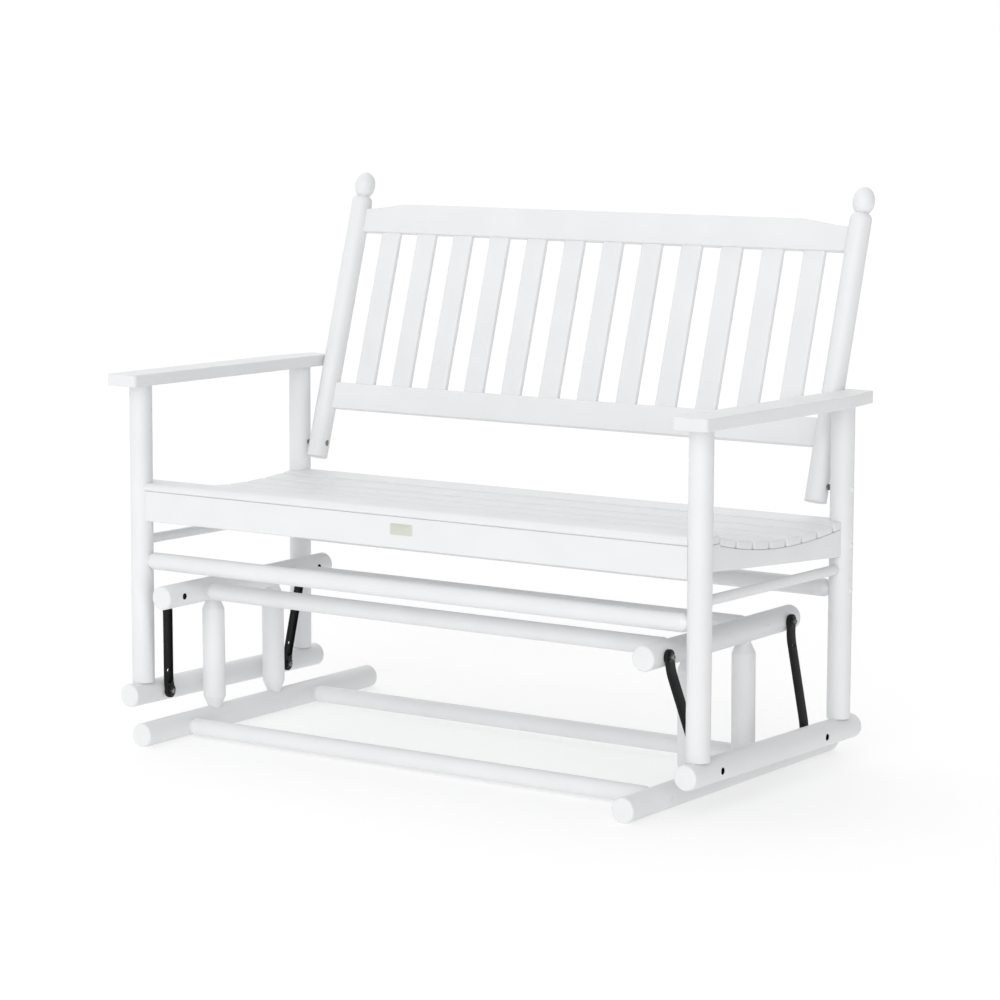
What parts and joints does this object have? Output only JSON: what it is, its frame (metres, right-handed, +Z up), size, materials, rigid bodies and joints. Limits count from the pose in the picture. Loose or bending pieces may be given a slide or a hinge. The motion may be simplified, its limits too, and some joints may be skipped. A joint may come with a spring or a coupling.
{
  "type": "glider bench",
  "caption": "Glider bench: a slatted wooden seat with flat arms and a leaning slatted back, hung by cranked steel links from a low fixed base so that it swings fore and aft.",
  "frame": {"origin": "middle of the bench's plan outline, on the floor that it stands on", "axes": "+Z up, +X along the seat to the right of someone who looks at the front, -Y towards the front"},
  "size_m": [1.3006, 0.7546, 1.0201],
  "materials": {
    "white_paint": "satin white paint over smooth wood",
    "black_powder_coat": "satin black powder coat",
    "zinc_plate": "bright zinc plate"
  },
  "bodies": {
    "base": {"floor_rail_left": "white_paint", "floor_rail_right": "white_paint", "hanger_rail_left": "white_paint", "hanger_rail_right": "white_paint", "upright_front_left": "white_paint", "upright_rear_left": "white_paint", "upright_front_right": "white_paint", "upright_rear_right": "white_paint", "floor_stretcher_front": "white_paint", "floor_stretcher_rear": "white_paint", "upper_stretcher_front": "white_paint", "upper_stretcher_rear": "white_paint"},
    "link_front_left": {"swing_link_front_left": "black_powder_coat"},
    "link_front_right": {"swing_link_front_right": "black_powder_coat"},
    "link_rear_left": {"swing_link_rear_left": "black_powder_coat"},
    "link_rear_right": {"swing_link_rear_right": "black_powder_coat"},
    "seat": {"seat_rail_left": "white_paint", "seat_rail_right": "white_paint", "seat_post_front_left": "white_paint", "seat_post_rear_left": "white_paint", "seat_post_front_right": "white_paint", "seat_post_rear_right": "white_paint", "side_rod_left": "white_paint", "side_rod_right": "white_paint", "seat_stretcher_front": "white_paint", "seat_stretcher_rear": "white_paint", "seat_slat_1": "white_paint", "seat_slat_2": "white_paint", "seat_slat_3": "white_paint", "seat_slat_4": "white_paint", "seat_slat_5": "white_paint", "seat_slat_6": "white_paint", "seat_slat_7": "white_paint", "seat_slat_8": "white_paint", "seat_slat_9": "white_paint", "seat_side_board_left": "white_paint", "seat_side_board_right": "white_paint", "seat_apron": "white_paint", "seat_rear_board": "white_paint", "seat_middle_board": "white_paint", "armrest_left": "white_paint", "armrest_right": "white_paint", "back_post_left": "white_paint", "back_post_right": "white_paint", "back_lower_rail": "white_paint", "back_crest_rail": "white_paint", "back_slat_1": "white_paint", "back_slat_2": "white_paint", "back_slat_3": "white_paint", "back_slat_4": "white_paint", "back_slat_5": "white_paint", "back_slat_6": "white_paint", "back_slat_7": "white_paint", "back_slat_8": "white_paint", "back_slat_9": "white_paint", "back_slat_10": "white_paint", "back_slat_11": "white_paint", "back_slat_12": "white_paint", "back_bolt_left": "zinc_plate", "back_bolt_right": "zinc_plate"}
  },
  "joints": [
    {"name": "front_left_swing", "type": "hinge", "parent": "base", "child": "link_front_left", "pos_m": [-0.553, -0.27329, 0.26693], "axis": [1, 0, 0], "range_deg": [-20, 10]},
    {"name": "front_right_swing", "type": "hinge", "parent": "base", "child": "link_front_right", "pos_m": [0.553, -0.27329, 0.26693], "axis": [1, 0, 0], "range_deg": [-20, 10]},
    {"name": "rear_left_swing", "type": "hinge", "parent": "base", "child": "link_rear_left", "pos_m": [-0.553, 0.12671, 0.26693], "axis": [1, 0, 0], "range_deg": [-20, 10]},
    {"name": "rear_right_swing", "type": "hinge", "parent": "base", "child": "link_rear_right", "pos_m": [0.553, 0.12671, 0.26693], "axis": [1, 0, 0], "range_deg": [-20, 10]},
    {"name": "seat_pivot", "type": "hinge", "parent": "link_front_left", "child": "seat", "pos_m": [-0.61, -0.22875, 0.074], "axis": [1, 0, 0], "range_deg": [-11.5, 23]}
  ],
  "couplings": [
    {"joint": "front_right_swing", "follows": "front_left_swing", "ratio": 1},
    {"joint": "rear_left_swing", "follows": "front_left_swing", "ratio": 0.996},
    {"joint": "rear_right_swing", "follows": "front_left_swing", "ratio": 0.996},
    {"joint": "seat_pivot", "follows": "front_left_swing", "ratio": -1.141}
  ]
}
